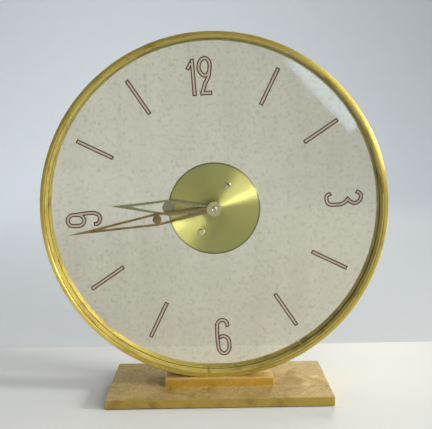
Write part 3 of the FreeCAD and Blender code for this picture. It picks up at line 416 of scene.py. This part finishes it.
brushed_round, round_in, round_out = node_group(
    "brushed_round", {"Height of hub": ("Float", 0.1037), "Lines": ("Float", 9000.0)},
    {"Line": "Float", "Reach": "Float"})
round_place = node(brushed_round, "SeparateXYZ", {0: object_place(brushed_round)}).outputs
above_hub = calculated(brushed_round, "SUBTRACT", round_place["Z"], round_in["Height of hub"])
across_squared = calculated(brushed_round, "MULTIPLY", round_place["X"], round_place["X"])
reach_squared = calculated(brushed_round, "MULTIPLY_ADD", above_hub, above_hub, across_squared)
reach_from_hub = calculated(brushed_round, "SQRT", reach_squared)
turn_round_hub = calculated(brushed_round, "ARCTAN2", round_place["X"], above_hub)
line_number = calculated(brushed_round, "MULTIPLY", reach_from_hub, round_in["Lines"])
line_place = node(brushed_round, "CombineXYZ", {"X": line_number, "Y": turn_round_hub}).outputs[0]
feed(brushed_round, round_out, {"Line": noise(brushed_round, line_place, scale=1, detail=3),
                                "Reach": reach_from_hub})


def brushed_metal(name, axis_height, anisotropy, **look):
    """Metal with the look of metal(), brushed in circles round an axis at a height."""
    finish = metal(name, **look)
    tree = finish.node_tree
    lines = node(tree, "Group", {"Height of hub": axis_height, "Lines": 9000}, node_tree=brushed_round)
    feed(tree, tree.nodes["Bump"], {"Height": lines.outputs["Line"]})
    along = node(tree, "Tangent", direction_type="RADIAL", axis="Y")
    feed(tree, tree.nodes["Principled BSDF"], {"Anisotropic": anisotropy, "Anisotropic Rotation": 0.25,
                                               "Tangent": along.outputs[0]})
    return finish


hoop_brass = brushed_metal("hoop_brass", hoop_middle.z, anisotropy=0.9, clean=(0.84, 0.66, 0.15),
                           stained=(0.50, 0.36, 0.07), patches=40, share=0.38, smooth=0.34, dull=0.44,
                           relief=0.15)
hoop_brass.node_tree.nodes["Principled BSDF"].inputs["Specular Tint"].default_value = (0.55, 0.42, 0.16, 1)
placed(hoop, hoop_brass, "hoop_brass", "case_ring")

# Split bands: two thin strips of brass sprung into the hoop, before and behind the glass, to clamp it.
# Each has a narrow gap where its ends meet.
band_outer, band_inner = 92.68 * MM, 91.98 * MM
band_near, band_far = 2 * MM, 8.35 * MM
band_gap = radians(0.8)


def split_band(name, front, back, gap_turn):
    """Strip spun round the hoop's axis from one side of its gap to the other."""
    strip = started(name, bpy.ops.mesh.primitive_plane_add, size=1,
                    scale=(band_outer - band_inner, back - front, 1),
                    place=((band_inner + band_outer) / 2, (front + back) / 2, 0))
    strip.data.transform(Matrix.Rotation(-pi / 2 + gap_turn + band_gap / 2, 4, "Y"))
    strip.data.transform(Matrix.Translation(hoop_middle))
    pick(strip, lambda face: True)
    bpy.ops.mesh.spin(steps=ROUND, angle=2 * pi - band_gap, center=hoop_middle, axis=(0, 1, 0))
    bpy.ops.mesh.select_all(action="SELECT")
    bpy.ops.mesh.remove_doubles(threshold=0.01 * MM)
    bpy.ops.mesh.normals_make_consistent(inside=False)
    bpy.ops.object.mode_set(mode="OBJECT")
    softened(strip, width=0.1 * MM, steps=2)
    return strip


band_brass = metal("band_brass", clean=(0.68, 0.54, 0.14), stained=(0.36, 0.26, 0.07), patches=70,
                   share=0.5, smooth=0.34, dull=0.5, relief=0.08)
band_shader = band_brass.node_tree.nodes["Principled BSDF"]
band_shader.inputs["Metallic"].default_value = 0.5
band_shader.inputs["Specular Tint"].default_value = (0.30, 0.22, 0.08, 1)
front_band = split_band("front_band", -band_far, -band_near, radians(182))
placed(front_band, band_brass, "band_brass", "front_retaining_ring")
rear_band = split_band("rear_band", band_near, band_far, radians(148))
placed(rear_band, band_brass, "band_brass", "rear_retaining_ring")

# Dial glass: a thick clear disc with ground edges and a hole for the hands' pipes. It is faintly warm,
# with a film of old dust that dulls it here and there, and greenish at its rim as thick glass is.
hub = Vector((0, 0, 103.7)) * MM
glass_radius, glass_hole, glass_front, glass_back = 92.6 * MM, 18.5 * MM, -2 * MM, 2 * MM


def coloured_by_reach(tree, axis_height, start, end, near, far):
    """Colour that goes from near to far between two distances from an axis."""
    reach = node(tree, "Group", {"Height of hub": axis_height}, node_tree=brushed_round).outputs["Reach"]
    return mixed(tree, mapped(tree, reach, start, end), near, far)


glass = disc_block("clear_dial", glass_radius, glass_front, glass_back, hoop_middle)
bored(glass, glass_radius, glass_hole, hub.z - hoop_middle.z)
softened(glass, width=0.4 * MM, steps=3)
dial_glass, glass_tree, glass_shader = new_finish("dial_glass")
glass_place = object_place(glass_tree)
film = noise(glass_tree, glass_place, scale=55, detail=8, roughness=0.65)
wiped_place = node(glass_tree, "Mapping", {"Vector": glass_place, "Scale": (70, 1, 9)}).outputs[0]
streaks = noise(glass_tree, wiped_place, scale=1, detail=6)
specks = mapped(glass_tree, noise(glass_tree, glass_place, scale=420, detail=5), low=0.55, high=0.75,
                high_result=0.9)
smears = calculated(glass_tree, "MULTIPLY_ADD", streaks, 0.55,
                    calculated(glass_tree, "MULTIPLY", film, 0.45))
glass_tint = colour_ramp(glass_tree, calculated(glass_tree, "ADD", smears, specks),
                         (0.3, (0.89, 0.84, 0.66, 1)), (1.0, (0.70, 0.63, 0.48, 1)))
feed(glass_tree, glass_shader, {
    "Transmission Weight": 1.0, "IOR": 1.5,
    "Roughness": mapped(glass_tree, film, low=0.42, high=0.75, high_result=0.12),
    "Base Color": coloured_by_reach(glass_tree, hoop_middle.z, start=91.0 * MM, end=91.9 * MM,
                                    near=glass_tint, far=(0.62, 0.84, 0.78, 1))})
shadow_ray = node(glass_tree, "LightPath").outputs["Is Shadow Ray"]
clear = node(glass_tree, "BsdfTransparent", {"Color": (0.93, 0.92, 0.88, 1)}).outputs[0]
glass_surface = node(glass_tree, "MixShader", {0: shadow_ray, 1: glass_shader.outputs[0], 2: clear})
feed(glass_tree, glass_tree.nodes["Material Output"], {"Surface": glass_surface.outputs[0]})
placed(glass, dial_glass, "dial_glass", "dial_glass")

# Hour marks: numerals at 12, 3, 6 and 9 and a baton at each hour between, printed on the glass as a
# cream stroke inside a dark brown outline. The print is turned a little in the hoop. Each stroke of a
# numeral lies a hair's breadth over the one before, as successive passes of a print do.
print_middle = Vector((-0.6, -2.0, 105.45)) * MM
print_turn = radians(3.9)
stroke_width, outline_width = 2.35, 0.68
outline_rise, stroke_rise, pass_rise = 0.07, 0.11, 0.004 * MM
print_place = (Matrix.Translation(print_middle) @ Matrix.Rotation(-print_turn, 4, "Y")
               @ Matrix.Rotation(pi / 2, 4, "X"))


def stroke_profile(name, width, rise):
    """Cross-section of a printed stroke, for a curve's bevel."""
    section = bpy.data.curves.new(name, "CURVE")
    section.dimensions = "2D"
    spline = section.splines.new("POLY")
    spline.points.add(3)
    for point, (across, up) in zip(spline.points, ((-0.5, 0), (0.5, 0), (0.5, 1), (-0.5, 1))):
        point.co = (across * width * MM, up * rise * MM, 0, 1)
    spline.use_cyclic_u = True
    shape = bpy.data.objects.new(name, section)
    bpy.context.collection.objects.link(shape)
    return shape


def stroke(name, points, section, closed, trim, lift):
    """One printed stroke along its centre line, in millimetres on the upright dial.

    A trim shortens both ends, and a lift raises the stroke off the glass.
    """
    line = bpy.data.curves.new(name, "CURVE")
    line.dimensions = "2D"
    line.fill_mode = "NONE"
    line.resolution_u = 12
    line.bevel_mode = "OBJECT"
    line.bevel_object = section
    line.use_fill_caps = True
    spline = line.splines.new("BEZIER")
    spline.bezier_points.add(len(points) - 1)
    for knot, point in zip(spline.bezier_points, points):
        knot.co = (point[0] * MM, point[1] * MM, 0)
        sharp = len(points) == 2 or len(point) > 2
        knot.handle_left_type = knot.handle_right_type = "VECTOR" if sharp else "AUTO"
    spline.use_cyclic_u = closed
    if trim:
        length = spline.calc_length() / MM
        line.bevel_factor_mapping_start = line.bevel_factor_mapping_end = "SPLINE"
        line.bevel_factor_start = trim / length
        line.bevel_factor_end = 1 - trim / length
    piece = bpy.data.objects.new(name, line)
    bpy.context.collection.objects.link(piece)
    alone(piece)
    bpy.ops.object.convert(target="MESH")
    bpy.ops.object.shade_flat()
    piece.data.transform(print_place @ Matrix.Translation((0, 0, lift)))
    return piece


# Each mark is its centre line and whether it closes. The strokes are, in turn, the 1's stem and flag, the
# 2's loop, tail and bar, the 3, the 6, and the 9's loop and tail. Then come the eight batons.
CORNER = "corner"
marks = [
    ([(-5.05, 80.4), (-5.05, 60.3)], False),
    ([(-8.1, 74.6), (-5.5, 78.5)], False),
    ([(1.3, 80.1), (-1.4, 77.2), (-0.9, 72.6), (1.9, 70.9), (4.2, 74.9), (3.6, 79.0)], True),
    ([(4.2, 74.9), (3.2, 70.2), (1.1, 66.6), (-0.3, 63.0), (-0.9, 60.6)], False),
    ([(-2.0, 61.5), (4.6, 61.4)], False),
    ([(65.5, 1.1), (63.2, 0.0), (62.8, -2.4), (63.9, -4.6), (66.4, -5.2), (71.2, -5.0), (73.2, -4.0),
      (74.5, -2.7, CORNER), (76.0, -4.3), (78.2, -5.2), (80.6, -4.3), (81.9, -2.0), (81.2, 0.3),
      (79.2, 1.2)], False),
    ([(2.5, -69.3), (1.9, -66.5), (-0.6, -65.2), (-3.1, -67.0), (-3.6, -71.0), (-3.7, -78.6),
      (-2.9, -83.0), (-0.7, -84.5), (1.9, -82.9), (2.6, -79.4), (1.9, -75.9), (-0.4, -74.6),
      (-3.0, -75.2)], False),
    ([(-81.0, -2.0), (-79.6, 0.4), (-76.5, 0.9), (-73.2, 0.1), (-72.0, -2.4), (-73.4, -4.8),
      (-77.0, -5.2), (-80.1, -4.5)], True),
    ([(-76.5, 0.9), (-69.5, 1.3), (-65.6, 1.0), (-63.4, -0.6), (-63.3, -3.0), (-64.6, -4.8),
      (-66.8, -5.1)], False),
]
baton_near, baton_far = 60.7, 82.8
for hour in (1, 2, 4, 5, 7, 8, 10, 11):
    across, up = sin(hour * pi / 6), cos(hour * pi / 6)
    marks.append(([(baton_near * across, baton_near * up), (baton_far * across, baton_far * up)], False))


def one_piece(name, parts):
    """Joins meshes into one piece."""
    alone(parts[0])
    for part in parts:
        part.select_set(True)
    bpy.ops.object.join()
    parts[0].name = name
    return parts[0]


def printed(name, width, rise, trim):
    """All the marks as one piece. Open strokes are trimmed at their ends."""
    section = stroke_profile("section", width, rise)
    piece = one_piece(name, [
        stroke(f"{name}_{index}", points, section, closed, 0 if closed else trim, index % 3 * pass_rise)
        for index, (points, closed) in enumerate(marks)])
    bpy.data.objects.remove(section)
    return piece


def enamel(name, colour, worn_colour, patches):
    """Printed enamel, rubbed in small places."""
    return worn_finish(name, colour, worn_colour, patches, share=0.35, smooth=0.35, dull=0.6)[0]


outlines = printed("mark_outlines", stroke_width, outline_rise, trim=0)
fills = printed("mark_strokes", stroke_width - 2 * outline_width, stroke_rise, trim=outline_width)
outline_enamel = enamel("outline_enamel", (0.060, 0.034, 0.026), worn_colour=(0.12, 0.08, 0.06), patches=260)
cream_enamel = enamel("cream_enamel", (0.60, 0.48, 0.40), worn_colour=(0.46, 0.36, 0.30), patches=200)
placed(outlines, outline_enamel, "dial_print")
placed(fills, cream_enamel, "dial_print", "hour_markers")

# Centre disc: turned from brass sheet and brushed round and round, so that light lies across it in two
# bright wedges. Its rounded edge catches a fine line of light, and a narrow band at its rim is painted
# darker: a painted shade line that sets its edge off from the glass.
disc_radius, disc_hole, disc_front, disc_back = 25.5 * MM, 2.6 * MM, -2.8 * MM, -2 * MM
centre_disc = disc_block("brushed_disc", disc_radius, disc_front, disc_back, hub)
bored(centre_disc, disc_radius, disc_hole)
softened(centre_disc, width=0.3 * MM, steps=3)


def recoloured_by_reach(finish, start, end, near=None, far=None):
    """Gives a metal another colour nearer the hub, or farther from it, than a distance."""
    tree, shader = finish.node_tree, finish.node_tree.nodes["Principled BSDF"]
    own = shader.inputs["Base Color"].links[0].from_socket
    feed(tree, shader, {"Base Color": coloured_by_reach(tree, hub.z, start, end, near or own, far or own)})


disc_brass = brushed_metal("disc_brass", hub.z, anisotropy=1.0, clean=(0.80, 0.78, 0.28),
                           stained=(0.64, 0.63, 0.36), patches=45, share=0.40, smooth=0.46, dull=0.52,
                           relief=0.2)
# Painted shade: the last half millimetre or so of the disc's radius is coloured dark, standing for the dark
# line at its edge.
recoloured_by_reach(disc_brass, disc_radius - 1.1 * MM, disc_radius - 0.5 * MM, far=(0.34, 0.33, 0.15, 1))
placed(centre_disc, disc_brass, "disc_brass", "centre_disc")

# Clamp screws: two slotted cheese-head screws through the disc into the movement's front plate. They
# pull the disc and the movement together on the glass.
clamp_circle, clamp_turn = 14.7 * MM, radians(60)
screw_radius, screw_front = 1.7 * MM, -3.6 * MM
slot_width, slot_depth, slot_length = 0.5 * MM, 0.4 * MM, 4 * MM


def combined(piece, other, operation="DIFFERENCE"):
    """Cuts another shape out of a piece, or joins it on, and takes the other away."""
    alone(piece)
    both = piece.modifiers.new("both", "BOOLEAN")
    both.operation = operation
    both.object = other
    both.solver = "EXACT"
    bpy.ops.object.modifier_apply(modifier="both")
    bpy.data.objects.remove(other)


screw_head = disc_block("screw_head", screw_radius, screw_front, disc_front, hub, sides=48)
softened(screw_head, width=0.65 * MM, steps=6)
screws = []
for turn, slot_turn in ((clamp_turn, 0.5), (clamp_turn + pi, -0.9)):
    away = Vector((clamp_circle * cos(turn), 0, clamp_circle * sin(turn)))
    screw = screw_head.copy()
    screw.data = screw_head.data.copy()
    screw.data.transform(Matrix.Translation(away))
    bpy.context.collection.objects.link(screw)
    slot = started("slot", bpy.ops.mesh.primitive_cube_add, size=1,
                   scale=(slot_length, 2 * slot_depth, slot_width))
    slot.data.transform(Matrix.Rotation(slot_turn, 4, "Y"))
    slot.data.transform(Matrix.Translation((hub.x + away.x, screw_front, hub.z + away.z)))
    combined(screw, slot)
    screws.append(screw)
bpy.data.objects.remove(screw_head)
screw_brass = metal("screw_brass", clean=(0.88, 0.82, 0.55), stained=(0.30, 0.25, 0.13), patches=300,
                    share=0.3, smooth=0.10, dull=0.3, relief=0.03)
placed(one_piece("clamp_screws", screws), screw_brass, "disc_brass", "disc_screws")

# Hour hand: pierced from brass sheet as an open lozenge with a small disc across its widest place and a
# solid point, and dulled to a greenish grey.
hand_sheet, tip_outer, tip_inner = 0.4 * MM, 0.12, 0.1


def sheet_outline(name, shapes, thickness):
    """Flat shape in millimetres, with its windows, made into sheet of a thickness."""
    drawing = bpy.data.curves.new(name, "CURVE")
    drawing.dimensions = "2D"
    drawing.fill_mode = "BOTH"
    drawing.extrude = thickness / 2
    for shape in shapes:
        spline = drawing.splines.new("POLY")
        spline.points.add(len(shape) - 1)
        for point, (across, along) in zip(spline.points, shape):
            point.co = (across * MM, along * MM, 0, 1)
        spline.use_cyclic_u = True
    piece = bpy.data.objects.new(name, drawing)
    bpy.context.collection.objects.link(piece)
    alone(piece)
    bpy.ops.object.convert(target="MESH")
    bpy.ops.object.mode_set(mode="EDIT")
    bpy.ops.mesh.select_all(action="SELECT")
    bpy.ops.mesh.remove_doubles(threshold=0.001 * MM)
    bpy.ops.mesh.normals_make_consistent(inside=False)
    bpy.ops.object.mode_set(mode="OBJECT")
    return piece


def round_sheet(name, radius, along, thickness, sides=48):
    """Round sheet in millimetres, with its middle some way along the hand."""
    turns = [2 * pi * step / sides for step in range(sides)]
    outline = [(radius * cos(turn), along + radius * sin(turn)) for turn in turns]
    return sheet_outline(name, [outline], thickness)


def hand(name, length, widest, half_width, neck, rail, point, disc, boss, bore, level, turn):
    """Open lozenge hand in millimetres, made along +Z and turned clockwise to its time.

    It is half_width to each side at its widest place and neck at the hub, with rails of a width, a solid
    point of a length, and a disc, a boss and a bore of their radii. Its level is along Y.
    """
    inner_neck = max(neck - rail, 0.15)
    blade = sheet_outline(name, [
        [(-neck, 0), (neck, 0), (half_width, widest), (tip_outer, length), (-tip_outer, length),
         (-half_width, widest)],
        [(-inner_neck, boss + 0.8), (inner_neck, boss + 0.8), (half_width - rail, widest),
         (tip_inner, length - point), (-tip_inner, length - point), (rail - half_width, widest)]],
        hand_sheet)
    combined(blade, round_sheet("hand_disc", disc, widest, hand_sheet * 1.0001), "UNION")
    combined(blade, round_sheet("hand_boss", boss, 0, hand_sheet * 1.0002), "UNION")
    combined(blade, round_sheet("hand_bore", bore, 0, hand_sheet * 3))
    blade.data.transform(Matrix.Rotation(pi / 2, 4, "X"))
    blade.data.transform(Matrix.Rotation(turn, 4, "Y"))
    blade.data.transform(Matrix.Translation((hub.x, level * MM, hub.z)))
    softened(blade, width=0.06 * MM, steps=2)
    return blade


hour_blade = hand("hour_blade", length=56.3, widest=25.0, half_width=4.5, neck=1.4, rail=1.1, point=11.0,
                  disc=3.6, boss=3.2, bore=1.6, level=-4.5, turn=radians(272.2))
hour_brass = metal("hour_hand_brass", clean=(0.56, 0.55, 0.34), stained=(0.36, 0.35, 0.22), patches=120,
                   share=0.5, smooth=0.24, dull=0.45, relief=0.08)
placed(hour_blade, hour_brass, "hour_hand_brass", "hour_hand", body="hour_work")

# Minute hand: longer, of browner brass, with slim rails and a long solid point. Its round boss covers
# the hour hand's, and is rubbed paler by the fingers that fit the nut.
minute_boss = 4.1
minute_blade = hand("minute_blade", length=80.9, widest=32.0, half_width=3.5, neck=1.35, rail=1.2,
                    point=18.0, disc=2.45, boss=minute_boss, bore=1.0, level=-5.8, turn=radians(260.5))
minute_brass = metal("minute_hand_brass", clean=(0.50, 0.37, 0.16), stained=(0.30, 0.21, 0.09),
                     patches=110, share=0.5, smooth=0.26, dull=0.45, relief=0.08)
recoloured_by_reach(minute_brass, (minute_boss - 0.1) * MM, (minute_boss + 0.2) * MM,
                    near=(0.84, 0.80, 0.46, 1))
placed(minute_blade, minute_brass, "minute_hand_brass", "minute_hand", body="minute_work")

# Hand nut: a small domed round nut of polished brass on the end of the centre arbor. The arbor's own
# end, a domed steel tip, shows in the nut's bore.
nut = disc_block("dome_nut", radius=1.5 * MM, front=-7.2 * MM, back=-6.0 * MM, middle=hub, sides=64)
combined(nut, disc_block("nut_bore", radius=0.75 * MM, front=-8 * MM, back=-5 * MM, middle=hub, sides=48))
softened(nut, width=0.35 * MM, steps=4)
nut_brass = metal("nut_brass", clean=(0.86, 0.78, 0.52), stained=(0.35, 0.28, 0.14), patches=400,
                  share=0.3, smooth=0.10, dull=0.3, relief=0.03)
placed(nut, nut_brass, "hand_nut_brass", "hand_nut", body="minute_work")
bright_steel = metal("bright_steel", clean=(0.60, 0.60, 0.61), stained=(0.30, 0.28, 0.26), patches=200,
                     share=0.3, smooth=0.22, dull=0.45, relief=0.05)
tip = disc_block("arbor_tip", radius=0.72 * MM, front=-7.0 * MM, back=-6.5 * MM, middle=hub, sides=48)
softened(tip, width=0.3 * MM, steps=4)
placed(tip, bright_steel, "steel", body="minute_work")

# Movement can: a brass cup spun over a former and pushed over the front plate behind the glass. It has
# a rounded rim at the back, faint spinning lines, and holes for the setting knob and the key.
can_radius, can_front, can_rear, can_wall = 23.55 * MM, 2 * MM, 21 * MM, 0.6 * MM
hole_front, hole_rear = can_rear - 2 * MM, can_rear + 2 * MM
barrel_middle = Vector((0, 0, 93.2)) * MM
can = disc_block("spun_can", can_radius, can_front, can_rear, hub)
pick(can, lambda face: face.normal.y < -0.9)
bpy.ops.mesh.delete(type="FACE")
bpy.ops.object.mode_set(mode="OBJECT")
softened(can, width=1.2 * MM, steps=5)
alone(can)
wall = can.modifiers.new("wall", "SOLIDIFY")
wall.thickness = can_wall
wall.offset = -1
bpy.ops.object.modifier_apply(modifier="wall")
combined(can, disc_block("knob_hole", 1.6 * MM, hole_front, hole_rear, hub, sides=64))
combined(can, disc_block("key_hole", 2.0 * MM, hole_front, hole_rear, barrel_middle, sides=64))
can_brass = brushed_metal("can_brass", hub.z, anisotropy=0.6, clean=(0.74, 0.57, 0.26),
                          stained=(0.52, 0.38, 0.16), patches=60, share=0.42, smooth=0.26, dull=0.42,
                          relief=0.2)
placed(can, can_brass, "can_brass", "movement_can")

# Setting knob: a small turned knob with a straight knurl and a dished back, pushed on the back end of
# the centre arbor.
knob_radius, knob_neck, knob_front, knob_rear = 4.6 * MM, 4.0 * MM, 21.4 * MM, 24.6 * MM
knurl_depth, dish_depth = 0.16 * MM, 0.3 * MM
knob = disc_block("setting_knob", knob_radius, knob_front, knob_rear, hub, sides=144)
pick(knob, lambda vert: vert.co.y < knob_front + 0.1 * MM, "VERT")
bpy.ops.transform.resize(value=(knob_neck / knob_radius, 1, knob_neck / knob_radius),
                         center_override=(hub.x, knob_front, hub.z))
pick(knob, lambda face: face.normal.y > 0.9 and len(face.verts) > 4)
bpy.ops.mesh.inset(thickness=0.7 * MM)
bpy.ops.mesh.inset(thickness=0.3 * MM)
bpy.ops.transform.translate(value=(0, -dish_depth, 0))
bpy.ops.object.mode_set(mode="OBJECT")
for vert in knob.data.vertices:
    reach = vert.co - Vector((hub.x, vert.co.y, hub.z))
    if reach.length > knob_neck - 0.1 * MM and (vert.index // 2) % 3 == 0:
        vert.co -= reach.normalized() * knurl_depth
combined(knob, disc_block("knob_bore", radius=0.75 * MM, front=20 * MM, back=26 * MM, middle=hub,
                          sides=48))
softened(knob, width=0.05 * MM, steps=2, angle=50)
knob_brass = metal("knob_brass", clean=(0.80, 0.60, 0.20), stained=(0.34, 0.24, 0.10), patches=250,
                   share=0.4, smooth=0.14, dull=0.36, relief=0.03)
placed(knob, knob_brass, "can_brass", "set_knob", body="minute_work")

# Winding key: a butterfly key with two round wings on a boss, slid on the barrel arbor's square.
wing_reach, wing_level, wing_radius, wing_thickness = 3.6 * MM, 27.7 * MM, 2.6 * MM, 1.6 * MM
key = disc_block("butterfly_key", radius=2.2 * MM, front=21.4 * MM, back=30.3 * MM,
                 middle=barrel_middle, sides=64)
wing = started("wing", bpy.ops.mesh.primitive_cylinder_add, vertices=64, radius=wing_radius,
               depth=wing_thickness, place=(-wing_reach, wing_level, barrel_middle.z))
other_wing = wing.copy()
other_wing.data = wing.data.copy()
other_wing.data.transform(Matrix.Translation((2 * wing_reach, 0, 0)))
bpy.context.collection.objects.link(other_wing)
combined(key, wing, "UNION")
combined(key, other_wing, "UNION")
softened(key, width=0.25 * MM, steps=3)
placed(key, knob_brass, "can_brass", "winding_key", body="winding_work")

# Movement: plates, wheels and pinions of plain brass, arbors, screws and springs of bright steel, and a
# gasket of brown fibre under the front plate. They are the CAD nodes, seen only when the can is off.
movement_brass = metal("movement_brass", clean=(0.80, 0.64, 0.30), stained=(0.45, 0.34, 0.16),
                       patches=150, share=0.4, smooth=0.2, dull=0.4, relief=0.05)
for name in ("ring_studs", "stud_washers", "stud_nuts", "pillar_screws", "hairspring", "centre_arbor",
             "cannon_pinion", "mainspring", "barrel_arbor", "ratchet_wheel", "click", "pallet_lever",
             "regulator"):
    dressed(name, bright_steel)
for name in ("plate_pillars", "front_plate", "back_plate", "hour_wheel", "minute_wheel", "barrel",
             "barrel_cover", "centre_wheel", "third_wheel", "fourth_wheel", "escape_wheel",
             "balance_wheel"):
    dressed(name, movement_brass)
gasket_fibre = enamel("gasket_fibre", (0.22, 0.13, 0.07), worn_colour=(0.12, 0.07, 0.04), patches=500)
dressed("glass_gasket", gasket_fibre)
